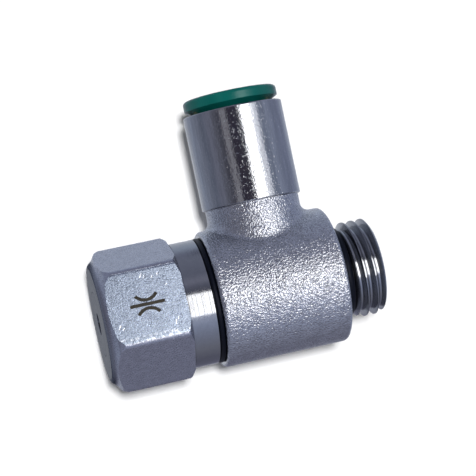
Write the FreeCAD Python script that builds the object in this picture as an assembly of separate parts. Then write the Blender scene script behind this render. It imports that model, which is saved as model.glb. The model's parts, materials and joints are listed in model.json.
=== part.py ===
import FreeCAD, Part
import math
import os

# Banjo flow control valve, 8 mm tube on a G1/4 male port, lying on its side.
# Millimetres. +X runs along the banjo bolt and out of its port thread, +Y along the tube
# branch and out of its mouth, +Z up. The origin is where the bolt axis meets the face of the
# banjo ring that faces the port.

V = FreeCAD.Vector
OVERCUT = 1.0
ORIGIN = V(0, 0, 0)
X_DIR = V(1, 0, 0)
Y_DIR = V(0, 1, 0)
Z_DIR = V(0, 0, 1)

# ---- Banjo ring and its branch -------------------------------------------------------------
RING_LENGTH = 17.2
RING_R = 9.25
RING_BORE_R = 6.70
RING_PORT_ROUND = 0.6
RING_HEAD_ROUND = 0.5
BORE_LEAD_IN = 0.3
BRANCH_X = -8.9
NECK_R = 6.4
NECK_FILLET = 1.1
HOUSING_R = 6.75
HOUSING_BOTTOM_Y = 11.75
HOUSING_TOP_Y = 24.6
HOUSING_EDGE = 0.2

# ---- Tube connection inside the branch -----------------------------------------------------
PASSAGE_R = 2.75
SOCKET_STOP_Y = 9.6
SOCKET_R = 4.05
O_RING_SEAT_Y = 17.0
O_RING_SEAT_R = 5.35
CLAMP_SEAT_Y = 18.9
CLAMP_SEAT_R = 5.70
MOUTH_BEVEL_Y = 24.1
MOUTH_R = 6.35
FIT_GAP = 0.01
TUBE_O_RING_SECTION = 1.30
TUBE_O_RING_MEAN_R = 4.62
GRIP_WASHER_BORE_R = 4.20
GRIP_WASHER_CONE_Y = 19.1
GRIP_RING_Y = 19.9
GRIP_BEND_R = 5.20
GRIP_SHEET = 0.26
GRIP_TIP_R = 3.87
GRIP_TOOTH_DROP = 0.5
GRIP_TIP_SLANT = 0.08
GRIP_BEND_SLANT = 0.05
GRIP_SLOT_END_R = 4.90
GRIP_TEETH = 12
GRIP_SLOT_WIDTH = 0.5
SLEEVE_TOP_Y = 24.05
SLEEVE_SHOULDER_Y = 21.75
SLEEVE_WIDE_R = 5.30
SLEEVE_NARROW_R = 4.80
SLEEVE_BEVEL = 0.4

# ---- Release collet ------------------------------------------------------------------------
COLLET_BORE_R = 4.15
COLLET_STEM_R = 4.65
COLLET_BARB_R = 5.10
COLLET_BOTTOM_Y = 20.85
COLLET_BARB_TOP_Y = 21.55
COLLET_CONE_Y = 24.75
COLLET_CONE_R = 5.30
COLLET_FLANGE_R = 6.40
COLLET_FLANGE_Y = 25.35
COLLET_TOP_Y = 26.75
COLLET_ROUND = 0.5
COLLET_FLANGE_EDGE = 0.12
COLLET_MOUTH_ROUND = 0.2
COLLET_LEAD_IN = 0.5
COLLET_BARB_BEVEL = 0.3
COLLET_SLOTS = 4
COLLET_SLOT_WIDTH = 0.9
COLLET_SLOT_TOP_Y = 23.5

# ---- Port thread, G1/4 ---------------------------------------------------------------------
THREAD_MAJOR_R = 6.579
THREAD_PITCH = 1.337
THREAD_DEPTH = 0.856
THREAD_CREST = 0.223
THREAD_FLANK_DEG = 27.5
THREAD_START_X = 1.6
THREAD_END_X = 5.75
THREAD_GROOVE_START_X = 0.263
THREAD_END_R = 6.1
THREAD_LEAD_LENGTH = 0.38
THREAD_SECTORS = 8
THREAD_SECTOR_PHASE_DEG = 11.0
THREAD_OVERCUT = 0.15
ENVELOPE_GAP = 0.0005

# ---- Banjo bolt: stem, collar and hexagon head ---------------------------------------------
STEM_R = 6.65
PORT_GROOVE_R = 4.80
STEM_GROOVE_R = 5.35
LOWER_GROOVE_X = (-0.6, -2.2)
UPPER_GROOVE_X = (-13.1, -14.7)
LOWER_WAIST_X = (-2.6, -4.25)
UPPER_WAIST_X = (-5.75, -12.6)
WAIST_R = 5.0
LIP_GROOVE_R = 4.6
COLLAR_FACE_X = -17.9
COLLAR_R = 8.46
COLLAR_EDGE = 0.15
HEX_START_X = -21.3
HEX_LINE_WIDTH = 0.14
HEX_LINE_R = 8.3
HEX_FLATS = 17.0
HEX_EDGE_ROUND = 0.9
HEX_CORNER_R = 9.68
HEX_LEAN_DEG = 10.25
HEX_COLLAR_END_R = 9.0
HEX_COLLAR_CORNER_X = -21.98
HEX_COLLAR_CORNER_ROUND = 0.5
HEX_CORNER_END_X = -30.4
HEX_CORNER_END_ROUND = 0.8
HEAD_SHOULDER_X = -31.2
HEAD_SHOULDER_R = 9.32
HEAD_SHOULDER_ROUND = 0.6
HEAD_RIM_X = -31.72
HEAD_RIM_R = 8.45
HEAD_RIM_ROUND = 0.8
HEAD_END_X = -32.45
HEAD_END_R = 7.90
HEAD_END_ROUND = 0.7

# ---- Bolt: passages ------------------------------------------------------------------------
PORT_BORE_R = 3.3
PORT_BORE_END_X = -4.4
SEAT_R = 1.8
SEAT_X = -6.9
CHAMBER_R = 3.0
CHAMBER_END_X = -19.7
ADJUST_BORE_R = 3.55
ADJUST_BORE_END_X = -25.7
RECESS_R = 4.35
RECESS_BEVEL = 0.05
LOWER_HOLES = 6
LOWER_HOLE_R = 0.8
LOWER_HOLE_X = -3.42
UPPER_HOLES = 4
UPPER_HOLE_R = 1.5

# ---- Adjusting needle ----------------------------------------------------------------------
NEEDLE_TIP_X = -4.5
NEEDLE_TIP_R = 0.9
NEEDLE_TAPER_R = 1.70
NEEDLE_SEAT_GAP = 0.03
NEEDLE_SHOULDER_R = 2.4
NEEDLE_SHOULDER_X = (-7.53, -7.93)
NEEDLE_SHANK_R = 2.0
NEEDLE_GUIDE_R = 2.93
NEEDLE_GUIDE_X = (-12.6, -19.75)
NEEDLE_GROOVE_X = (-13.3, -14.7)
NEEDLE_GROOVE_R = 2.05
NEEDLE_THREAD_R = 3.5
NEEDLE_THREAD_X = (-19.95, -25.3)
NEEDLE_NECK_X = -25.6
NEEDLE_NECK_R = 3.1
NEEDLE_FLANGE_X = (-25.9, -27.8)
NEEDLE_FLANGE_R = 4.2
NEEDLE_STUB_R = 1.25
NEEDLE_STUB_END_X = -31.5
NEEDLE_STUB_ROUND = 0.15
DRIVER_SLOT_WIDTH = 0.6
DRIVER_SLOT_DEPTH = 1.0
NEEDLE_O_RING_SECTION = 0.90
NEEDLE_O_RING_MEAN_R = 2.53

# ---- Seals and plug on the bolt ------------------------------------------------------------
HEAD_WASHER_X = (-17.22, -17.88)
HEAD_WASHER_INNER_R = 6.72
HEAD_WASHER_OUTER_R = 8.5
HEAD_WASHER_ROUND = 0.2
PORT_O_RING_SECTION = 1.5
PORT_O_RING_X = 0.8
PORT_O_RING_MEAN_R = 5.56
STEM_O_RING_SECTION = 1.30
STEM_O_RING_MEAN_R = 6.02
LIP_SEAL_X = (-4.3, -5.7)
LIP_SEAL_INNER_R = 4.62
LIP_SEAL_HEEL_R = 6.25
LIP_SEAL_FOOT_R = 5.1
LIP_TIP_OUTER_X = -5.85
LIP_TIP_OUTER_R = 6.66
LIP_TIP_INNER_X = -5.95
LIP_TIP_INNER_R = 6.35
LIP_ROOT_X = -5.0
LIP_ROOT_R = 5.45
PLUG_X = (-30.95, -32.44)
PLUG_HOLE_R = 1.45
PLUG_BEVEL = 0.05

# ---- Engraved throttle symbol on the uppermost hexagon flat --------------------------------
SYMBOL_X = -26.5
SYMBOL_LINE_LENGTH = 4.6
SYMBOL_STROKE = 0.44
SYMBOL_DEPTH = 0.25
SYMBOL_ARC_R = 1.7
SYMBOL_ARC_OFFSET = 2.25
SYMBOL_ARC_SPAN_DEG = 110.0


def rounded_face(corners):
    """Flat face in the XY plane; a corner is (x, y) or (x, y, round-off radius)."""
    places = [V(c[0], c[1], 0) for c in corners]
    radii = [c[2] if len(c) > 2 else 0 for c in corners]
    count = len(corners)
    stretches = []
    for i, corner in enumerate(places):
        if not radii[i]:
            stretches.append((corner, None, corner))
            continue
        back = (places[i - 1] - corner).normalize()
        ahead = (places[(i + 1) % count] - corner).normalize()
        half_angle = back.getAngle(ahead) / 2
        setback = radii[i] / math.tan(half_angle)
        inward = (back + ahead).normalize()
        middle = corner + inward * (radii[i] / math.sin(half_angle) - radii[i])
        stretches.append((corner + back * setback, middle, corner + ahead * setback))
    edges = []
    for i, (start, middle, end) in enumerate(stretches):
        if middle is not None:
            edges.append(Part.Arc(start, middle, end).toShape())
        following = stretches[(i + 1) % count][0]
        if end.distanceToPoint(following) > 1e-6:
            edges.append(Part.LineSegment(end, following).toShape())
    return Part.Face(Part.Wire(edges))


def turned(outline):
    """Solid turned about the bolt axis from (x, radius) corners."""
    return rounded_face(outline).revolve(ORIGIN, X_DIR, 360)


def branch_turned(outline):
    """Solid turned about the branch axis from (y, radius) corners."""
    corners = [(c[1], c[0], *c[2:]) for c in outline]
    solid = rounded_face(corners).revolve(ORIGIN, Y_DIR, 360)
    solid.translate(V(BRANCH_X, 0, 0))
    return solid


def rod(radius, x_from, x_to):
    """Cylinder on the bolt axis between two stations."""
    low = min(x_from, x_to)
    return Part.makeCylinder(radius, abs(x_to - x_from), V(low, 0, 0), X_DIR)


def branch_rod(radius, y_from, y_to):
    """Cylinder on the branch axis between two heights."""
    return Part.makeCylinder(radius, y_to - y_from, V(BRANCH_X, y_from, 0), Y_DIR)


def o_ring(section, mean_r, x):
    """Round-section seal about the bolt axis."""
    return Part.makeTorus(mean_r, section / 2, V(x, 0, 0), X_DIR)


def radial_holes(radius, x, count, reach, first_deg):
    """Drills through the bolt's wall, evenly spaced around it."""
    drills = []
    for i in range(count):
        angle = math.radians(first_deg + i * 360 / count)
        outward = V(0, math.cos(angle), math.sin(angle))
        drills.append(Part.makeCylinder(radius, reach, V(x, 0, 0), outward))
    return drills


def middle_of(span):
    return (span[0] + span[1]) / 2


# ---- Bolt ----------------------------------------------------------------------------------
def thread_blank():
    """Cylinder of eight sectors, so that each stretch of crest is a short face."""
    length = THREAD_END_X - THREAD_START_X
    step = 360 / THREAD_SECTORS
    sectors = []
    for i in range(THREAD_SECTORS):
        sector = Part.makeCylinder(THREAD_MAJOR_R, length, V(THREAD_START_X, 0, 0), X_DIR, step)
        sector.rotate(ORIGIN, X_DIR, i * step + THREAD_SECTOR_PHASE_DEG)
        sectors.append(sector)
    return sectors[0].multiFuse(sectors[1:])


def thread_groove():
    """Helical V groove between the crests, right-handed, past both ends of the thread."""
    turns = math.ceil((THREAD_END_X - THREAD_GROOVE_START_X) / THREAD_PITCH) + 1
    root_r = THREAD_MAJOR_R - THREAD_DEPTH
    helix = Part.makeLongHelix(THREAD_PITCH, turns * THREAD_PITCH, root_r)
    helix.rotate(ORIGIN, Y_DIR, 90)
    helix.translate(V(THREAD_GROOVE_START_X, 0, 0))
    root_half = THREAD_CREST / 2
    widening = (THREAD_DEPTH + THREAD_OVERCUT) * math.tan(math.radians(THREAD_FLANK_DEG))
    mouth_half = root_half + widening
    mouth_r = THREAD_MAJOR_R + THREAD_OVERCUT
    corners = ((-root_half, root_r), (root_half, root_r), (mouth_half, mouth_r), (-mouth_half, mouth_r))
    section = [V(THREAD_GROOVE_START_X + across, 0, -radius) for across, radius in corners]
    profile = Part.makePolygon(section + section[:1])
    return Part.Wire(helix.Edges).makePipeShell([profile], True, True)


def port_thread():
    """Blank cut by the groove, bevelled at both ends."""
    lead_in_r = THREAD_MAJOR_R - THREAD_DEPTH
    clear_r = THREAD_MAJOR_R + ENVELOPE_GAP
    envelope = turned([
        (THREAD_START_X, 0),
        (THREAD_START_X, lead_in_r),
        (THREAD_START_X + THREAD_DEPTH, clear_r),
        (THREAD_END_X - THREAD_LEAD_LENGTH, clear_r),
        (THREAD_END_X, THREAD_END_R),
        (THREAD_END_X, 0),
    ])
    return thread_blank().common(envelope).cut(thread_groove())


def bolt_stem():
    """Collar and grooved stem, from the hexagon to the thread."""
    return turned([
        (HEX_START_X - HEX_LINE_WIDTH, 0),
        (HEX_START_X - HEX_LINE_WIDTH, HEX_LINE_R),
        (HEX_START_X, HEX_LINE_R),
        (HEX_START_X, COLLAR_R),
        (COLLAR_FACE_X - COLLAR_EDGE, COLLAR_R),
        (COLLAR_FACE_X, COLLAR_R - COLLAR_EDGE),
        (COLLAR_FACE_X, STEM_R),
        (UPPER_GROOVE_X[1], STEM_R),
        (UPPER_GROOVE_X[1], STEM_GROOVE_R),
        (UPPER_GROOVE_X[0], STEM_GROOVE_R),
        (UPPER_GROOVE_X[0], STEM_R),
        (UPPER_WAIST_X[1], STEM_R),
        (UPPER_WAIST_X[1], WAIST_R),
        (UPPER_WAIST_X[0], WAIST_R),
        (UPPER_WAIST_X[0], LIP_GROOVE_R),
        (LOWER_WAIST_X[1], LIP_GROOVE_R),
        (LOWER_WAIST_X[1], WAIST_R),
        (LOWER_WAIST_X[0], WAIST_R),
        (LOWER_WAIST_X[0], STEM_R),
        (LOWER_GROOVE_X[1], STEM_R),
        (LOWER_GROOVE_X[1], STEM_GROOVE_R),
        (LOWER_GROOVE_X[0], STEM_GROOVE_R),
        (LOWER_GROOVE_X[0], STEM_R),
        (0, STEM_R),
        (0, PORT_GROOVE_R),
        (THREAD_START_X, PORT_GROOVE_R),
        (THREAD_START_X, 0),
    ])


def hexagon_prism(x_from, x_to):
    """Drawn hexagon bar with rounded edges; the normal of its uppermost flat leans from +Z to +Y."""
    corner_r = HEX_FLATS / 2 / math.cos(math.radians(30))
    corners = []
    for i in range(6):
        angle = math.radians(60 * i)
        corners.append((corner_r * math.cos(angle), corner_r * math.sin(angle), HEX_EDGE_ROUND))
    bar = rounded_face(corners).extrude(V(0, 0, x_to - x_from))
    bar.rotate(ORIGIN, Y_DIR, 90)
    bar.rotate(ORIGIN, X_DIR, 30 - HEX_LEAN_DEG)
    bar.translate(V(x_from, 0, 0))
    return bar


def hex_head():
    """Hexagon with turned-down corners at the collar and bevelled ones at its softly rounded end."""
    start_x = HEX_START_X - HEX_LINE_WIDTH
    envelope = turned([
        (start_x, 0),
        (HEAD_END_X, 0),
        (HEAD_END_X, HEAD_END_R, HEAD_END_ROUND),
        (HEAD_RIM_X, HEAD_RIM_R, HEAD_RIM_ROUND),
        (HEAD_SHOULDER_X, HEAD_SHOULDER_R, HEAD_SHOULDER_ROUND),
        (HEX_CORNER_END_X, HEX_CORNER_R, HEX_CORNER_END_ROUND),
        (HEX_COLLAR_CORNER_X, HEX_CORNER_R, HEX_COLLAR_CORNER_ROUND),
        (start_x, HEX_COLLAR_END_R),
    ])
    return hexagon_prism(start_x, HEAD_END_X).common(envelope)


def symbol_cutter():
    """Throttle symbol: a flow line between two arcs that bow towards it."""
    low = HEX_FLATS / 2 - SYMBOL_DEPTH
    height = SYMBOL_DEPTH + OVERCUT
    half_stroke = SYMBOL_STROKE / 2
    line_corner = V(SYMBOL_X - SYMBOL_LINE_LENGTH / 2, -half_stroke, low)
    cutters = [Part.makeBox(SYMBOL_LINE_LENGTH, SYMBOL_STROKE, height, line_corner)]
    for side in (1, -1):
        centre = V(SYMBOL_X, side * SYMBOL_ARC_OFFSET, low)
        arc = Part.makeCylinder(SYMBOL_ARC_R + half_stroke, height, centre, Z_DIR, SYMBOL_ARC_SPAN_DEG)
        hollow = Part.makeCylinder(SYMBOL_ARC_R - half_stroke, height, centre, Z_DIR)
        arc = arc.cut(hollow)
        arc.rotate(centre, Z_DIR, -side * 90 - SYMBOL_ARC_SPAN_DEG / 2)
        cutters.append(arc)
    cutter = Part.Compound(cutters)
    cutter.rotate(ORIGIN, X_DIR, -HEX_LEAN_DEG)
    return cutter


def bolt_passages():
    """Port bore, needle seat, chamber, adjusting bore and recess in one turned core."""
    return turned([
        (THREAD_END_X + OVERCUT, 0),
        (THREAD_END_X + OVERCUT, PORT_BORE_R),
        (PORT_BORE_END_X, PORT_BORE_R),
        (PORT_BORE_END_X, SEAT_R),
        (SEAT_X, SEAT_R),
        (SEAT_X, CHAMBER_R),
        (CHAMBER_END_X, CHAMBER_R),
        (CHAMBER_END_X, ADJUST_BORE_R),
        (ADJUST_BORE_END_X, ADJUST_BORE_R),
        (ADJUST_BORE_END_X, RECESS_R),
        (HEAD_END_X + RECESS_BEVEL, RECESS_R),
        (HEAD_END_X, RECESS_R + RECESS_BEVEL),
        (HEAD_END_X - OVERCUT, RECESS_R + RECESS_BEVEL),
        (HEAD_END_X - OVERCUT, 0),
    ])


def banjo_bolt():
    bolt = bolt_stem().fuse([hex_head(), port_thread()])
    bolt = bolt.cut(bolt_passages())
    lower = radial_holes(LOWER_HOLE_R, LOWER_HOLE_X, LOWER_HOLES, STEM_R, 0)
    upper = radial_holes(UPPER_HOLE_R, BRANCH_X, UPPER_HOLES, STEM_R, 45)
    return bolt.cut([*lower, *upper, symbol_cutter()])


# ---- Seals, plug and needle on the bolt ------------------------------------------------------
def head_seal_washer():
    near, far = HEAD_WASHER_X
    return turned([
        (near, HEAD_WASHER_INNER_R),
        (near, HEAD_WASHER_OUTER_R, HEAD_WASHER_ROUND),
        (far, HEAD_WASHER_OUTER_R, HEAD_WASHER_ROUND),
        (far, HEAD_WASHER_INNER_R),
    ])


def lip_seal():
    """One-way seal: its outer lip opens towards the branch and wipes the ring's bore."""
    heel_x, foot_x = LIP_SEAL_X
    return turned([
        (heel_x, LIP_SEAL_INNER_R),
        (heel_x, LIP_SEAL_HEEL_R),
        (LIP_TIP_OUTER_X, LIP_TIP_OUTER_R),
        (LIP_TIP_INNER_X, LIP_TIP_INNER_R),
        (LIP_ROOT_X, LIP_ROOT_R),
        (foot_x, LIP_SEAL_FOOT_R),
        (foot_x, LIP_SEAL_INNER_R),
    ])


def needle_retaining_plug():
    """Plug pressed into the head's recess; the needle's slotted stub reaches through its hole."""
    inner_x, outer_x = PLUG_X
    outer_r = RECESS_R - FIT_GAP
    return turned([
        (inner_x, PLUG_HOLE_R),
        (inner_x, outer_r),
        (outer_x + PLUG_BEVEL, outer_r),
        (outer_x, outer_r - PLUG_BEVEL),
        (outer_x, PLUG_HOLE_R + PLUG_BEVEL),
        (outer_x + PLUG_BEVEL, PLUG_HOLE_R),
    ])


def adjusting_needle():
    """Taper needle and its fine-threaded, slotted adjusting head in one turned piece."""
    seat_x = SEAT_X - NEEDLE_SEAT_GAP
    needle = turned([
        (NEEDLE_TIP_X, 0),
        (NEEDLE_TIP_X, NEEDLE_TIP_R),
        (seat_x, NEEDLE_TAPER_R),
        (seat_x, NEEDLE_SHOULDER_R),
        (NEEDLE_SHOULDER_X[0], NEEDLE_SHOULDER_R),
        (NEEDLE_SHOULDER_X[1], NEEDLE_SHANK_R),
        (NEEDLE_GUIDE_X[0], NEEDLE_SHANK_R),
        (NEEDLE_GUIDE_X[0], NEEDLE_GUIDE_R),
        (NEEDLE_GROOVE_X[0], NEEDLE_GUIDE_R),
        (NEEDLE_GROOVE_X[0], NEEDLE_GROOVE_R),
        (NEEDLE_GROOVE_X[1], NEEDLE_GROOVE_R),
        (NEEDLE_GROOVE_X[1], NEEDLE_GUIDE_R),
        (NEEDLE_GUIDE_X[1], NEEDLE_GUIDE_R),
        (NEEDLE_THREAD_X[0], NEEDLE_THREAD_R),
        (NEEDLE_THREAD_X[1], NEEDLE_THREAD_R),
        (NEEDLE_NECK_X, NEEDLE_NECK_R),
        (NEEDLE_FLANGE_X[0], NEEDLE_NECK_R),
        (NEEDLE_FLANGE_X[0], NEEDLE_FLANGE_R),
        (NEEDLE_FLANGE_X[1], NEEDLE_FLANGE_R),
        (NEEDLE_FLANGE_X[1], NEEDLE_STUB_R),
        (NEEDLE_STUB_END_X, NEEDLE_STUB_R, NEEDLE_STUB_ROUND),
        (NEEDLE_STUB_END_X, 0),
    ])
    span = 4 * NEEDLE_STUB_R
    corner = V(NEEDLE_STUB_END_X - OVERCUT, -DRIVER_SLOT_WIDTH / 2, -span / 2)
    slot = Part.makeBox(DRIVER_SLOT_DEPTH + OVERCUT, DRIVER_SLOT_WIDTH, span, corner)
    return needle.cut(slot)


# ---- Banjo body and its tube connection ----------------------------------------------------
def ring_blank():
    return turned([
        (-RING_LENGTH, 0),
        (-RING_LENGTH, RING_R, RING_HEAD_ROUND),
        (0, RING_R, RING_PORT_ROUND),
        (0, 0),
    ])


def fillet_neck(body):
    """Rounds the saddle-shaped corner between the neck and the ring."""
    saddle = [edge for edge in body.Edges if isinstance(edge.Curve, Part.BSplineCurve)]
    return body.Solids[0].makeFillet(NECK_FILLET, saddle)


def banjo_body():
    body = ring_blank().fuse(branch_rod(NECK_R, 0, HOUSING_BOTTOM_Y + OVERCUT))
    body = fillet_neck(body)
    housing = branch_turned([
        (HOUSING_BOTTOM_Y, 0),
        (HOUSING_BOTTOM_Y, HOUSING_R, HOUSING_EDGE),
        (HOUSING_TOP_Y, HOUSING_R, HOUSING_EDGE),
        (HOUSING_TOP_Y, 0),
    ])
    lead_in_r = RING_BORE_R + BORE_LEAD_IN + OVERCUT
    ring_bore = turned([
        (-RING_LENGTH - OVERCUT, 0),
        (-RING_LENGTH - OVERCUT, lead_in_r),
        (-RING_LENGTH + BORE_LEAD_IN, RING_BORE_R),
        (-BORE_LEAD_IN, RING_BORE_R),
        (OVERCUT, lead_in_r),
        (OVERCUT, 0),
    ])
    tube_bore = branch_turned([
        (0, 0),
        (0, PASSAGE_R),
        (SOCKET_STOP_Y, PASSAGE_R),
        (SOCKET_STOP_Y, SOCKET_R),
        (O_RING_SEAT_Y, SOCKET_R),
        (O_RING_SEAT_Y, O_RING_SEAT_R),
        (CLAMP_SEAT_Y, O_RING_SEAT_R),
        (CLAMP_SEAT_Y, CLAMP_SEAT_R),
        (MOUTH_BEVEL_Y, CLAMP_SEAT_R),
        (HOUSING_TOP_Y, MOUTH_R),
        (HOUSING_TOP_Y + OVERCUT, MOUTH_R),
        (HOUSING_TOP_Y + OVERCUT, 0),
    ])
    return body.fuse(housing).cut([ring_bore, tube_bore])


def tube_o_ring():
    y = (O_RING_SEAT_Y + CLAMP_SEAT_Y) / 2
    return Part.makeTorus(TUBE_O_RING_MEAN_R, TUBE_O_RING_SECTION / 2, V(BRANCH_X, y, 0), Y_DIR)


def grip_washer():
    """Support ring between the O-ring and the toothed ring, coned to give the teeth room."""
    outer_r = CLAMP_SEAT_R - FIT_GAP
    return branch_turned([
        (CLAMP_SEAT_Y, GRIP_WASHER_BORE_R),
        (CLAMP_SEAT_Y, outer_r),
        (GRIP_RING_Y, outer_r),
        (GRIP_RING_Y, GRIP_BEND_R),
        (GRIP_WASHER_CONE_Y, GRIP_WASHER_BORE_R),
    ])


def grip_ring():
    """Sheet ring with inward teeth that lean down into the branch."""
    low_y = GRIP_RING_Y
    high_y = low_y + GRIP_SHEET
    outer_r = CLAMP_SEAT_R - FIT_GAP
    ring = branch_turned([
        (low_y, outer_r),
        (high_y, outer_r),
        (high_y, GRIP_BEND_R),
        (high_y - GRIP_TOOTH_DROP - GRIP_TIP_SLANT, GRIP_TIP_R),
        (low_y - GRIP_TOOTH_DROP, GRIP_TIP_R + GRIP_TIP_SLANT),
        (low_y, GRIP_BEND_R - GRIP_BEND_SLANT),
    ])
    slots = []
    for i in range(GRIP_TEETH):
        corner = V(0, low_y - OVERCUT, -GRIP_SLOT_WIDTH / 2)
        slot = Part.makeBox(GRIP_SLOT_END_R, GRIP_SHEET + 2 * OVERCUT, GRIP_SLOT_WIDTH, corner)
        slot.rotate(ORIGIN, Y_DIR, i * 360 / GRIP_TEETH)
        slot.translate(V(BRANCH_X, 0, 0))
        slots.append(slot)
    return ring.cut(slots)


def collet_sleeve():
    """Pressed-in sleeve that clamps the toothed ring and holds the collet's barbs."""
    low_y = GRIP_RING_Y + GRIP_SHEET
    outer_r = CLAMP_SEAT_R - FIT_GAP
    return branch_turned([
        (low_y, SLEEVE_WIDE_R),
        (low_y, outer_r),
        (SLEEVE_TOP_Y, outer_r),
        (SLEEVE_TOP_Y, SLEEVE_NARROW_R + SLEEVE_BEVEL),
        (SLEEVE_TOP_Y - SLEEVE_BEVEL, SLEEVE_NARROW_R),
        (SLEEVE_SHOULDER_Y, SLEEVE_NARROW_R),
        (SLEEVE_SHOULDER_Y, SLEEVE_WIDE_R),
    ])


def release_collet():
    """Plastic collet: slotted stem with a barb at its foot and a rounded flange to press."""
    collet = branch_turned([
        (COLLET_BOTTOM_Y, COLLET_BORE_R),
        (COLLET_BOTTOM_Y, COLLET_STEM_R),
        (COLLET_BOTTOM_Y + COLLET_BARB_BEVEL, COLLET_BARB_R),
        (COLLET_BARB_TOP_Y, COLLET_BARB_R),
        (COLLET_BARB_TOP_Y, COLLET_STEM_R),
        (COLLET_CONE_Y, COLLET_STEM_R),
        (COLLET_CONE_Y, COLLET_CONE_R),
        (COLLET_FLANGE_Y, COLLET_FLANGE_R, COLLET_FLANGE_EDGE),
        (COLLET_TOP_Y, COLLET_FLANGE_R, COLLET_ROUND),
        (COLLET_TOP_Y, COLLET_STEM_R, COLLET_MOUTH_ROUND),
        (COLLET_TOP_Y - COLLET_LEAD_IN, COLLET_BORE_R),
    ])
    slots = []
    height = COLLET_SLOT_TOP_Y - COLLET_BOTTOM_Y + OVERCUT
    base = V(0, COLLET_BOTTOM_Y - OVERCUT, -COLLET_SLOT_WIDTH / 2)
    for i in range(COLLET_SLOTS):
        slot = Part.makeBox(2 * COLLET_BARB_R, height, COLLET_SLOT_WIDTH, base)
        slot.rotate(ORIGIN, Y_DIR, 45 + i * 360 / COLLET_SLOTS)
        slot.translate(V(BRANCH_X, 0, 0))
        slots.append(slot)
    return collet.cut(slots)


def nodes():
    needle_seal_x = middle_of(NEEDLE_GROOVE_X)
    return {
        "banjo_bolt": banjo_bolt(),
        "head_seal_washer": head_seal_washer(),
        "port_o_ring": o_ring(PORT_O_RING_SECTION, PORT_O_RING_MEAN_R, PORT_O_RING_X),
        "stem_o_ring_lower": o_ring(STEM_O_RING_SECTION, STEM_O_RING_MEAN_R, middle_of(LOWER_GROOVE_X)),
        "stem_o_ring_upper": o_ring(STEM_O_RING_SECTION, STEM_O_RING_MEAN_R, middle_of(UPPER_GROOVE_X)),
        "lip_seal": lip_seal(),
        "needle_retaining_plug": needle_retaining_plug(),
        "adjusting_needle": adjusting_needle(),
        "needle_o_ring": o_ring(NEEDLE_O_RING_SECTION, NEEDLE_O_RING_MEAN_R, needle_seal_x),
        "banjo_body": banjo_body(),
        "tube_o_ring": tube_o_ring(),
        "grip_washer": grip_washer(),
        "grip_ring": grip_ring(),
        "collet_sleeve": collet_sleeve(),
        "release_collet": release_collet(),
    }


def main():
    os.makedirs("parts", exist_ok=True)
    for name, shape in nodes().items():
        solids = shape.Solids
        print(f"{name}: {len(solids)} solid, valid {shape.isValid()}, {shape.Volume:.1f} mm3")
        single = solids[0] if len(solids) == 1 else shape
        single.exportStep(f"parts/{name}.step")


main()
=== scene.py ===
import json
import math

import bpy
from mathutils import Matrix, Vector


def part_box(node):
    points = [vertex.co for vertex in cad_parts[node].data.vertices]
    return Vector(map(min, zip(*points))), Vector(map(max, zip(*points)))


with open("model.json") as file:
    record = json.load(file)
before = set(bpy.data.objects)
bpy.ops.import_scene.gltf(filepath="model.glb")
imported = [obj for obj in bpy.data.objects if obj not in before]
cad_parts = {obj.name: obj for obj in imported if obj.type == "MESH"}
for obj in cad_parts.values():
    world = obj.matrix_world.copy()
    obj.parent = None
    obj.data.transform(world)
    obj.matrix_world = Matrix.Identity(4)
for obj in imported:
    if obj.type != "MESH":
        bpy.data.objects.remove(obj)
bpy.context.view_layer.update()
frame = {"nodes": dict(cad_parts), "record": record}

MM = 0.001

# ---- Places taken from the frame, in metres --------------------------------------------------
ring_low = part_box("banjo_body")[0]
bolt_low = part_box("banjo_bolt")[0]
collet_low, collet_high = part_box("release_collet")
branch_x = (collet_low.x + collet_high.x) / 2

# ---- Studio ----------------------------------------------------------------------------------
FLOOR_HALF = 0.6
FLOOR_WHITES = (0.86, 0.90)
FLOOR_ROUGHNESS = 0.9
FLOOR_GLOW = 0.09
PANEL_HEIGHT = 1.0
WORLD_STRENGTH = 1.33
CAMERA_LENS = 118.34
CAMERA_SENSOR = 36.0
CAMERA_CLIP = (0.01, 10.0)
# The camera's place is from the frame's origin, and its angles are about X, Y and Z.
CAMERA_PLACE = Vector((-49.475, 6.712, 207.783)) * MM
CAMERA_ANGLES_DEG = (2.330, -10.038, -12.100)

# Studio colour by angle from straight up, in degrees: towards +X, then towards +Y.
WORLD_ACROSS = (
    (-180, (0.50, 0.52, 0.56)),
    (-135, (0.29, 0.33, 0.43)),
    (-105, (0.20, 0.22, 0.29)),
    (-92, (0.14, 0.16, 0.22)),
    (-75, (0.20, 0.21, 0.28)),
    (-55, (0.12, 0.125, 0.16)),
    (-46, (0.06, 0.06, 0.085)),
    (-20, (0.035, 0.03, 0.05)),
    (0, (0.03, 0.028, 0.045)),
    (42, (0.20, 0.22, 0.29)),
    (52, (0.24, 0.28, 0.38)),
    (60, (0.20, 0.23, 0.32)),
    (68, (0.30, 0.34, 0.46)),
    (90, (0.22, 0.25, 0.36)),
    (118, (0.22, 0.25, 0.36)),
    (140, (0.36, 0.40, 0.50)),
    (180, (0.50, 0.52, 0.56)),
)
WORLD_ALONG = (
    (-180, (0.26, 0.27, 0.33)),
    (-150, (0.13, 0.133, 0.19)),
    (-120, (0.14, 0.145, 0.20)),
    (-90, (0.22, 0.23, 0.29)),
    (-60, (0.27, 0.30, 0.41)),
    (-40, (0.36, 0.41, 0.57)),
    (-24, (0.52, 0.58, 0.76)),
    (-10, (0.05, 0.05, 0.07)),
    (10, (0.04, 0.04, 0.06)),
    (31, (0.13, 0.14, 0.20)),
    (40, (0.24, 0.25, 0.33)),
    (55, (0.17, 0.185, 0.255)),
    (90, (0.21, 0.23, 0.31)),
    (105, (0.20, 0.22, 0.31)),
    (125, (0.35, 0.41, 0.53)),
    (180, (0.50, 0.52, 0.56)),
)
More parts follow.
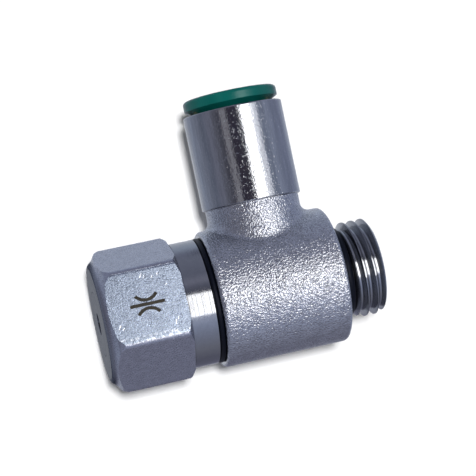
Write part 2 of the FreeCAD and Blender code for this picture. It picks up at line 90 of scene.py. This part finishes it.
# The share of a direction's sideways part that lies along Y. Up to the first value WORLD_ACROSS
# holds, and from the second WORLD_ALONG. The softening leaves straight up with WORLD_ACROSS.
ALONG_SHARE = (0.3, 0.7)
OVERHEAD_SOFTENING = 0.05


# ---- Node helpers ----------------------------------------------------------------------------
class Graph:
    """A node tree, with a short call for each kind of node used here.

    A value passed in is a constant or another node's output."""

    def __init__(self, tree):
        self.tree = tree
        self.tree.nodes.clear()

    def node(self, kind, inputs=None, **settings):
        made = self.tree.nodes.new(kind)
        for name, value in settings.items():
            setattr(made, name, value)
        for name, value in (inputs or {}).items():
            if isinstance(value, bpy.types.NodeSocket):
                self.tree.links.new(value, made.inputs[name])
            else:
                made.inputs[name].default_value = value
        return made

    def math(self, operation, first, second=0.0):
        return self.node("ShaderNodeMath", {0: first, 1: second}, operation=operation).outputs[0]

    def add(self, first, second):
        return self.math("ADD", first, second)

    def minus(self, first, second):
        return self.math("SUBTRACT", first, second)

    def times(self, first, *others):
        for other in others:
            first = self.math("MULTIPLY", first, other)
        return first

    def over(self, first, second):
        return self.math("DIVIDE", first, second)

    def absolute(self, value):
        return self.math("ABSOLUTE", value)

    def largest(self, first, *others):
        for other in others:
            first = self.math("MAXIMUM", first, other)
        return first

    def total(self, *weighted):
        """Sum of (value, weight) pairs."""
        sums = [self.times(value, weight) for value, weight in weighted]
        result = sums[0]
        for term in sums[1:]:
            result = self.add(result, term)
        return result

    def step(self, value, start, end):
        """0 below start, 1 above end, smooth between."""
        inputs = {0: value, 1: start, 2: end, 3: 0.0, 4: 1.0}
        return self.node("ShaderNodeMapRange", inputs, interpolation_type="SMOOTHSTEP").outputs[0]

    def below(self, value, start, end):
        """1 below start, 0 above end, smooth between."""
        return self.minus(1.0, self.step(value, start, end))

    def mix(self, factor, first, second):
        """A number between two, by factor. Sockets 2 and 3 are the Mix node's numbers."""
        return self.node("ShaderNodeMix", {0: factor, 2: first, 3: second}, data_type="FLOAT").outputs[0]

    def tint(self, factor, first, second):
        """A colour between two, by factor. Sockets 6 and 7 are the Mix node's colours."""
        return self.node("ShaderNodeMix", {0: factor, 6: first, 7: second}, data_type="RGBA").outputs[2]

    def ramp(self, turns, stops):
        """Colour by angle: turns is the angle in full turns, stops are (degrees, colour)."""
        made = self.node("ShaderNodeValToRGB", {0: self.add(turns, 0.5)})
        elements = made.color_ramp.elements
        while len(elements) < len(stops):
            elements.new(1.0)
        for element, (angle, colour) in zip(elements, stops):
            element.position = angle / 360 + 0.5
            element.color = (*colour, 1.0)
        return made.outputs[0]

    def place(self):
        """The point's own place in the part's frame, in millimetres."""
        where = self.node("ShaderNodeTexCoord").outputs["Object"]
        scaled = self.node("ShaderNodeVectorMath", {0: where, "Scale": 1 / MM}, operation="SCALE")
        return scaled.outputs[0]

    def axes(self, vector):
        made = self.node("ShaderNodeSeparateXYZ", {0: vector})
        return made.outputs[0], made.outputs[1], made.outputs[2]

    def stretch(self, x, y, z, by):
        """A point with each coordinate multiplied: a pattern is finer along a larger factor."""
        scaled = [self.times(value, factor) for value, factor in zip((x, y, z), by)]
        return self.node("ShaderNodeCombineXYZ", dict(enumerate(scaled))).outputs[0]

    def radius(self, first, second, centre=0.0):
        """Distance from an axis, from the two coordinates across it."""
        shifted = self.minus(first, centre)
        return self.math("SQRT", self.add(self.times(shifted, shifted), self.times(second, second)))

    def noise(self, vector, scale, detail=2.0, roughness=0.5, distortion=0.0):
        inputs = {"Vector": vector, "Scale": scale, "Detail": detail}
        inputs |= {"Roughness": roughness, "Distortion": distortion}
        return self.node("ShaderNodeTexNoise", inputs).outputs[0]

    def rounded_cells(self, vector, scale, smoothness):
        inputs = {"Vector": vector, "Scale": scale, "Smoothness": smoothness}
        return self.node("ShaderNodeTexVoronoi", inputs, feature="SMOOTH_F1").outputs["Distance"]

    def stroke(self, along, across, centre, offset, angle_deg, half_length, half_width):
        """1 on a short straight stroke, 0 beside it."""
        angle = math.radians(angle_deg)
        u = self.minus(along, centre)
        v = self.minus(across, offset)
        lengthways = self.add(self.times(u, math.cos(angle)), self.times(v, math.sin(angle)))
        sideways = self.minus(self.times(v, math.cos(angle)), self.times(u, math.sin(angle)))
        full_length = half_length * STROKE_FULL_LENGTH
        full_width = half_width * STROKE_FULL_WIDTH
        within_length = self.below(self.absolute(lengthways), full_length, half_length)
        within_width = self.below(self.absolute(sideways), full_width, half_width)
        return self.times(within_length, within_width)

    def bump(self, height, distance_mm):
        return self.node("ShaderNodeBump", {"Height": height, "Distance": distance_mm * MM}).outputs[0]

    def finish(self, base, roughness, normal=None, metal=0.0, edge_tint=None, **fixed):
        """Principled surface; the keyword values are the same all over."""
        inputs = {"Base Color": base, "Roughness": roughness, "Metallic": metal}
        if normal is not None:
            inputs["Normal"] = normal
        if edge_tint is not None:
            inputs["Specular Tint"] = edge_tint
        shader = self.node("ShaderNodeBsdfPrincipled", inputs)
        for name, value in fixed.items():
            shader.inputs[name.replace("_", " ")].default_value = value
        self.node("ShaderNodeOutputMaterial", {"Surface": shader.outputs[0]})


def graph(name):
    material = bpy.data.materials.new(name)
    material.use_nodes = True
    return material, Graph(material.node_tree)


def grey(value, blue=1.08):
    """Nearly neutral metal colour, cooler as blue rises above 1."""
    return (value, value * 1.01, value * blue, 1.0)


# ---- The banjo body: pebbled forging and turned housing --------------------------------------
# A pair is a span, (start, end). Spans of places are in millimetres in the part's frame, and the
# others are spans of the pattern, roughness or colour that they shape.
HOUSING_BOTTOM_Y = 11.75
SHOULDER_BLEND = 0.02
SOCKET_WALL = (5.9, 6.0)
SOCKET_START_Y = (5.0, 6.0)
RING_BORE_WALL = (6.8, 6.9)
PORT_FACE_X = (-0.03, -0.01)
HEAD_FACE_FROM_END = (0.01, 0.03)
DENTS_SPAN = (0.62, 0.70)
BLOTCH_SPAN = (0.35, 0.65)
# Painted shade: the forging is darkened in the low places between its pebbles, by the valley span, strength
# and colour below.
VALLEY_SHADE_SPAN = (0.36, 0.50)
VALLEY_SHADE_STRENGTH = 0.40
FORGED_COLOURS = (grey(0.52, blue=1.05), grey(0.60, blue=1.05))
VALLEY_SHADE_COLOUR = grey(0.24, blue=1.10)
HOUSING_COLOURS = (grey(0.30, blue=1.04), grey(0.52, blue=1.04))
FORGED_ROUGHNESS = (0.17, 0.25)
HOUSING_ROUGHNESS = (0.10, 0.20)
BODY_BUMP_MM = 0.12


def turned_areas(g, x, y, z):
    """1 on the housing, in the bores and on the ring's end faces; 0 on the forged skin."""
    from_bolt = g.radius(y, z)
    from_branch = g.radius(x, z, branch_x / MM)
    housing = g.step(y, HOUSING_BOTTOM_Y - SHOULDER_BLEND, HOUSING_BOTTOM_Y + SHOULDER_BLEND)
    socket = g.times(g.below(from_branch, *SOCKET_WALL), g.step(y, *SOCKET_START_Y))
    ring_bore = g.below(from_bolt, *RING_BORE_WALL)
    port_face = g.step(x, *PORT_FACE_X)
    head_face = g.below(x, *[ring_low.x / MM + offset for offset in HEAD_FACE_FROM_END])
    return g.largest(housing, socket, ring_bore, port_face, head_face)


def blasted_and_turned_nickel():
    """Pebbled forging below the shoulder, with painted shade in the low places between its pebbles, bright
    turned housing above it, turned faces and bores.
    """
    material, g = graph("nickel_blasted_and_turned")
    place = g.place()
    x, y, z = g.axes(place)
    turned = turned_areas(g, x, y, z)

    pebbles = g.noise(place, scale=4.4, detail=1.5, distortion=0.25)
    craters = g.rounded_cells(place, scale=3.7, smoothness=0.6)
    swell = g.noise(place, scale=1.1, detail=1.0)
    forged_height = g.total((pebbles, 1.15), (craters, -0.35), (swell, 0.35))

    from_branch = g.radius(x, z, branch_x / MM)
    round_the_branch = g.stretch(y, from_branch, z, by=(5.0, 0.4, 0.25))
    tool_lines = g.noise(round_the_branch, scale=1.0, roughness=0.7)
    orange_peel = g.noise(place, scale=3.6, detail=1.5)
    along_the_branch = g.stretch(x, y, z, by=(1.0, 0.13, 1.0))
    streaks = g.noise(along_the_branch, scale=1.6, detail=3.0, roughness=0.65)
    dents = g.step(g.noise(place, scale=3.3, detail=1.0), *DENTS_SPAN)
    turned_height = g.total((tool_lines, 0.045), (orange_peel, 0.16), (streaks, 0.12), (dents, -0.11))
    normal = g.bump(g.mix(turned, forged_height, turned_height), BODY_BUMP_MM)

    blotch = g.step(g.noise(place, scale=0.7, detail=4.0, roughness=0.65), *BLOTCH_SPAN)
    forged = g.tint(blotch, *FORGED_COLOURS)
    # Painted shade: darker in the low places between the pebbles.
    valley_shade = g.times(g.below(pebbles, *VALLEY_SHADE_SPAN), VALLEY_SHADE_STRENGTH)
    forged = g.tint(valley_shade, forged, VALLEY_SHADE_COLOUR)
    base = g.tint(turned, forged, g.tint(streaks, *HOUSING_COLOURS))
    roughness = g.mix(turned, g.mix(pebbles, *FORGED_ROUGHNESS), g.mix(tool_lines, *HOUSING_ROUGHNESS))
    g.finish(base, roughness, normal, metal=1.0)
    return material


# ---- The bolt: milled hexagon, polished collar, thread ---------------------------------------
# Spans ending in _X lie along the bolt's axis, in _R out from it, in _DEPTH below the upper flat, and
# in _ACROSS across that flat. SYMBOL_HALF_WIDTH is along Y.
HEX_HALF_FLATS = 8.5
HEX_LEAN_DEG = 10.25
HEX_END_X = (-21.45, -21.40)
HEX_OUTSIDE_R = (7.4, 7.6)
HEAD_END_X = (-32.2, -31.7)
THREAD_START_X = (1.3, 1.5)
THREAD_CREST_R = (6.25, 6.5)
FRONT_FLAT_DEPTH = (0.05, 0.01)
SYMBOL_SUNK_DEPTH = (0.16, 0.06)
SYMBOL_LIMIT_DEPTH = (0.6, 0.5)
SYMBOL_HALF_WIDTH = (2.9, 3.4)
SYMBOL_LEFT_X = (-29.6, -29.3)
SYMBOL_RIGHT_X = (-23.7, -23.4)
BURR_ACROSS = (-4.25, -3.75)
BURR_PATCHES = (0.45, 0.60)
PIT_SPAN = (0.60, 0.68)
MILLED_PATCHES = (0.35, 0.65)
FRONT_PATCHES = (0.38, 0.62)
# Worn strokes on the upper flat, in millimetres and degrees: centre along X, centre across the
# flat, angle from X, half length, half width.
HEX_SCRATCHES = (
    (-26.6, 3.75, 62, 0.42, 0.10),
    (-26.2, 3.55, 66, 0.30, 0.08),
    (-25.2, 3.35, 80, 0.22, 0.10),
    (-24.4, 3.60, 68, 0.28, 0.10),
    (-23.6, 2.00, 30, 0.20, 0.11),
    (-30.6, -2.30, 55, 0.40, 0.10),
    (-30.2, -2.60, 40, 0.28, 0.08),
    (-23.4, -3.10, 76, 0.45, 0.10),
    (-23.0, -2.60, 70, 0.30, 0.08),
)
# Share of a stroke's half length and half width over which it is at full strength.
STROKE_FULL_LENGTH = 0.6
STROKE_FULL_WIDTH = 0.5
GRAIN_HEIGHT = 1.2
FRONT_GRAIN_HEIGHT = 0.34
RINGS_HEIGHT = 0.4
BOLT_BUMP_MM = 0.045
POLISHED_COLOURS = (grey(0.32, blue=1.04), grey(0.40, blue=1.04))
MILLED_COLOURS = (grey(0.44, blue=1.12), grey(0.52, blue=1.12))
FRONT_COLOURS = ((0.36, 0.41, 0.49, 1.0), (0.44, 0.50, 0.60, 1.0))
THREAD_COLOURS = (grey(0.36, blue=1.05), grey(0.30, blue=1.05))
# Painted shade on the head's end face: its colour is darker, and the second edge tint below darkens its
# grazing reflection.
HEAD_END_SHADE_COLOUR = grey(0.32, blue=1.10)
# Worn nicks and burr are painted near white: real wear, with a painted glint.
WORN_GLINT_COLOUR = (0.95, 0.97, 1.0, 1.0)
ENGRAVED_COLOUR = (0.045, 0.04, 0.03, 1.0)
HEAD_END_SHADED_EDGE_TINTS = ((1.0, 1.0, 1.0, 1.0), (0.11, 0.12, 0.15, 1.0))
POLISHED_ROUGHNESS = (0.10, 0.18)
MILLED_ROUGHNESS = (0.20, 0.34)
THREAD_ROUGHNESS = 0.17
ENGRAVED_ROUGHNESS = 0.6
ENGRAVED_METAL = 0.4


def on_hexagon_flat(g, y, z):
    """Distance out from the bolt's axis towards the upper flat, and distance across that flat."""
    lean = math.radians(HEX_LEAN_DEG)
    outwards = g.add(g.times(y, math.sin(lean)), g.times(z, math.cos(lean)))
    across = g.minus(g.times(y, math.cos(lean)), g.times(z, math.sin(lean)))
    return outwards, across


def engraved_symbol(g, x, y, outwards, hexagon):
    """1 on the floor and walls of the symbol cut in the upper flat."""
    sunk = g.below(outwards, *[HEX_HALF_FLATS - depth for depth in SYMBOL_SUNK_DEPTH])
    shallow = g.step(outwards, *[HEX_HALF_FLATS - depth for depth in SYMBOL_LIMIT_DEPTH])
    near_middle = g.below(g.absolute(y), *SYMBOL_HALF_WIDTH)
    along = g.times(g.step(x, *SYMBOL_LEFT_X), g.below(x, *SYMBOL_RIGHT_X))
    return g.times(sunk, shallow, hexagon, near_middle, along)


def turned_and_milled_nickel():
    """Milled hexagon flats with a fine grain and nicks painted near white as a glint, polished collar, dark
    bright thread, and painted shade on the head's end face.
    """
    material, g = graph("nickel_turned_and_milled")
    place = g.place()
    x, y, z = g.axes(place)
    from_bolt = g.radius(y, z)
    outwards, across = on_hexagon_flat(g, y, z)
    hexagon = g.below(x, *HEX_END_X)
    flats = g.times(hexagon, g.step(from_bolt, *HEX_OUTSIDE_R))
    front_flat = g.times(hexagon, g.step(outwards, *[HEX_HALF_FLATS - depth for depth in FRONT_FLAT_DEPTH]))
    thread = g.step(x, *THREAD_START_X)
    shaded_head_end = g.below(x, *HEAD_END_X)
    engraved = engraved_symbol(g, x, y, outwards, hexagon)

    grain = g.noise(place, scale=4.6, detail=3.0, roughness=0.7)
    patches = g.noise(place, scale=1.6, detail=4.0, roughness=0.65)
    pits = g.step(g.noise(place, scale=2.6, roughness=0.6), *PIT_SPAN)
    strokes = g.largest(*[g.stroke(x, across, *stroke) for stroke in HEX_SCRATCHES])
    scratches = g.times(strokes, front_flat)
    burr = g.times(g.below(across, *BURR_ACROSS), front_flat, g.step(patches, *BURR_PATCHES))
    grain_height = g.mix(front_flat, GRAIN_HEIGHT, FRONT_GRAIN_HEIGHT)
    flat_height = g.total((grain, grain_height), (scratches, -0.15), (pits, -0.35))
    round_the_bolt = g.stretch(x, from_bolt, 0.0, by=(6.0, 0.5, 1.0))
    rings = g.noise(round_the_bolt, scale=1.0, detail=3.0, roughness=0.7)
    normal = g.bump(g.mix(flats, g.times(rings, RINGS_HEIGHT), flat_height), BOLT_BUMP_MM)

    polished = g.tint(patches, *POLISHED_COLOURS)
    milled = g.tint(g.step(patches, *MILLED_PATCHES), *MILLED_COLOURS)
    front = g.tint(g.step(patches, *FRONT_PATCHES), *FRONT_COLOURS)
    base = g.tint(flats, polished, g.tint(front_flat, milled, front))
    # Wear with a painted glint: the nicks and the burr are painted near white.
    base = g.tint(g.largest(scratches, burr), base, WORN_GLINT_COLOUR)
    base = g.tint(thread, base, g.tint(g.step(from_bolt, *THREAD_CREST_R), *THREAD_COLOURS))
    # Painted shade: the head's end face is darker.
    base = g.tint(shaded_head_end, base, HEAD_END_SHADE_COLOUR)
    base = g.tint(engraved, base, ENGRAVED_COLOUR)
    roughness = g.mix(flats, g.mix(rings, *POLISHED_ROUGHNESS), g.mix(grain, *MILLED_ROUGHNESS))
    roughness = g.mix(thread, roughness, THREAD_ROUGHNESS)
    roughness = g.mix(engraved, roughness, ENGRAVED_ROUGHNESS)
    metal = g.mix(engraved, 1.0, ENGRAVED_METAL)
    # The edge tint paints shade on the head's end face: its grazing reflection is darkened.
    g.finish(base, roughness, normal, metal, edge_tint=g.tint(shaded_head_end, *HEAD_END_SHADED_EDGE_TINTS))
    return material


# ---- The other finishes ----------------------------------------------------------------------
BRASS_COLOURS = ((0.58, 0.43, 0.20, 1.0), (0.66, 0.51, 0.26, 1.0))
BRASS_ROUGHNESS = (0.16, 0.30)
BRASS_BUMP_MM = 0.01
STEEL_COLOURS = (grey(0.44), grey(0.56))
STEEL_ROUGHNESS = (0.20, 0.34)
STEEL_BUMP_MM = 0.006
RUBBER_COLOURS = ((0.002, 0.003, 0.007, 1.0), (0.006, 0.007, 0.012, 1.0))
RUBBER_DUST_SPAN = (0.55, 0.75)
RUBBER_ROUGHNESS = (0.34, 0.50)
RUBBER_BUMP_MM = 0.006
PLASTIC_COLOURS = ((0.001, 0.080, 0.070, 1.0), (0.002, 0.112, 0.098, 1.0))
PLASTIC_ROUGHNESS = (0.22, 0.30)
PLASTIC_BUMP_MM = 0.004


def bare_brass():
    """Turned brass with fine rings."""
    material, g = graph("brass_turned")
    place = g.place()
    rings = g.noise(g.stretch(*g.axes(place), by=(8.0, 0.6, 1.0)), scale=1.5, detail=3.0, roughness=0.7)
    base = g.tint(g.noise(place, scale=0.9, detail=3.0), *BRASS_COLOURS)
    g.finish(base, g.mix(rings, *BRASS_ROUGHNESS), g.bump(rings, BRASS_BUMP_MM), metal=1.0)
    return material


def spring_steel():
    """Rolled spring steel with a fine grain."""
    material, g = graph("steel_spring")
    drawn_out = g.stretch(*g.axes(g.place()), by=(1.0, 4.0, 12.0))
    grain = g.noise(drawn_out, scale=1.5, detail=3.0, roughness=0.6)
    base = g.tint(grain, *STEEL_COLOURS)
    g.finish(base, g.mix(grain, *STEEL_ROUGHNESS), g.bump(grain, STEEL_BUMP_MM), metal=1.0)
    return material


def black_rubber():
    """Moulded rubber with a fine speckle and a little dust."""
    material, g = graph("rubber_black")
    place = g.place()
    speckle = g.noise(place, scale=14.0, detail=3.0, roughness=0.6)
    dust = g.step(g.noise(place, scale=3.0, detail=3.0), *RUBBER_DUST_SPAN)
    base = g.tint(dust, *RUBBER_COLOURS)
    normal = g.bump(speckle, RUBBER_BUMP_MM)
    g.finish(base, g.mix(speckle, *RUBBER_ROUGHNESS), normal, Specular_IOR_Level=0.14)
    return material


def green_plastic():
    """Moulded plastic with slow colour flow and a fine skin."""
    material, g = graph("plastic_green")
    place = g.place()
    flow = g.noise(place, scale=0.5)
    skin = g.noise(place, scale=10.0)
    base = g.tint(flow, *PLASTIC_COLOURS)
    normal = g.bump(skin, PLASTIC_BUMP_MM)
    g.finish(base, g.mix(skin, *PLASTIC_ROUGHNESS), normal, Specular_IOR_Level=0.30)
    return material


MATERIALS = {
    "turned_nickel": turned_and_milled_nickel(),
    "blasted_nickel": blasted_and_turned_nickel(),
    "turned_brass": bare_brass(),
    "spring_steel": spring_steel(),
    "black_rubber": black_rubber(),
    "green_plastic": green_plastic(),
}


def dress_cad_nodes():
    """Gives each CAD node the finish of its material slot in the record."""
    for entry in frame["record"]["subparts"]:
        node = frame["nodes"][entry["node"]]
        for slot in node.material_slots:
            slot.material = MATERIALS[entry["material_slot"]]


# ---- Floor, lights, camera -------------------------------------------------------------------
def make_floor():
    """Pale sheet at the lowest point of the ring and the bolt, which shows in no reflection."""
    z = min(ring_low.z, bolt_low.z)
    half = FLOOR_HALF
    corners = [(-half, -half, z), (half, -half, z), (half, half, z), (-half, half, z)]
    mesh = bpy.data.meshes.new("floor")
    mesh.from_pydata(corners, [], [(0, 1, 2, 3)])
    floor = bpy.data.objects.new("floor", mesh)
    bpy.context.collection.objects.link(floor)
    material, g = graph("floor_paper")
    paper = g.noise(g.place(), scale=0.15, detail=3.0)
    base = g.tint(paper, *[(white, white, white, 1.0) for white in FLOOR_WHITES])
    g.finish(base, FLOOR_ROUGHNESS, Emission_Color=(1.0, 1.0, 1.0, 1.0), Emission_Strength=FLOOR_GLOW)
    mesh.materials.append(material)
    floor.visible_glossy = False


def overhead_panel(name, x_span_deg, y_span_deg, radiance, colour=(1.0, 1.0, 1.0), for_metal=True):
    """Level area light; its edges are given as angles from straight up, towards +X and +Y.

    The power that gives an area light its radiance is the radiance times pi times its area. One
    kind shows in reflections, and the other lights the floor, the plastic and the rubber."""
    x_low, x_high = [PANEL_HEIGHT * math.tan(math.radians(angle)) for angle in x_span_deg]
    y_low, y_high = [PANEL_HEIGHT * math.tan(math.radians(angle)) for angle in y_span_deg]
    data = bpy.data.lights.new(name, "AREA")
    data.shape = "RECTANGLE"
    data.size = x_high - x_low
    data.size_y = y_high - y_low
    data.color = colour
    data.energy = radiance * math.pi * data.size * data.size_y
    light = bpy.data.objects.new(name, data)
    light.location = (branch_x + (x_low + x_high) / 2, (y_low + y_high) / 2, PANEL_HEIGHT)
    light.visible_glossy = for_metal
    light.visible_diffuse = not for_metal
    bpy.context.collection.objects.link(light)


def make_lights():
    """A bright key and its softer edge, a weak strip on the other side, and a lamp for the floor."""
    cool = (0.93, 0.95, 1.0)
    nearly_white = (0.95, 0.95, 1.0)
    overhead_panel("key_softbox", x_span_deg=(6, 31), y_span_deg=(-22, 18), radiance=4.4)
    overhead_panel("key_spill", x_span_deg=(32, 46), y_span_deg=(-22, 18), radiance=1.15, colour=cool)
    overhead_panel(
        "side_strip", x_span_deg=(-41, -27), y_span_deg=(-40, 40), radiance=0.34, colour=nearly_white
    )
    overhead_panel(
        "floor_lamp", x_span_deg=(-7, 0.5), y_span_deg=(3, 10.8), radiance=200.0, for_metal=False
    )


def make_world():
    """Studio round the part, by the angle from straight up: dark overhead, blue-grey lower down.

    It shows in reflections and past the floor's edge, and gives no diffuse light."""
    world = bpy.data.worlds.new("studio")
    world.use_nodes = True
    g = Graph(world.node_tree)
    direction = g.node("ShaderNodeTexCoord").outputs["Generated"]
    x, y, z = g.axes(direction)
    full_turn = 2 * math.pi
    towards_x = g.ramp(g.over(g.math("ARCTAN2", x, z), full_turn), WORLD_ACROSS)
    towards_y = g.ramp(g.over(g.math("ARCTAN2", y, z), full_turn), WORLD_ALONG)
    sideways = g.add(g.absolute(x), g.add(g.absolute(y), OVERHEAD_SOFTENING))
    share = g.over(g.absolute(y), sideways)
    tone = g.tint(g.step(share, *ALONG_SHARE), towards_x, towards_y)
    background = g.node("ShaderNodeBackground", {"Color": tone, "Strength": WORLD_STRENGTH})
    g.node("ShaderNodeOutputWorld", {"Surface": background.outputs[0]})
    bpy.context.scene.world = world
    world.cycles_visibility.diffuse = False


def make_camera():
    data = bpy.data.cameras.new("camera")
    data.lens = CAMERA_LENS
    data.sensor_width = CAMERA_SENSOR
    data.clip_start, data.clip_end = CAMERA_CLIP
    camera = bpy.data.objects.new("camera", data)
    camera.location = CAMERA_PLACE
    camera.rotation_euler = [math.radians(angle) for angle in CAMERA_ANGLES_DEG]
    bpy.context.collection.objects.link(camera)
    bpy.context.scene.camera = camera


def main():
    bpy.context.scene.view_settings.view_transform = "Standard"
    make_camera()
    make_floor()
    make_lights()
    make_world()
    dress_cad_nodes()


main()
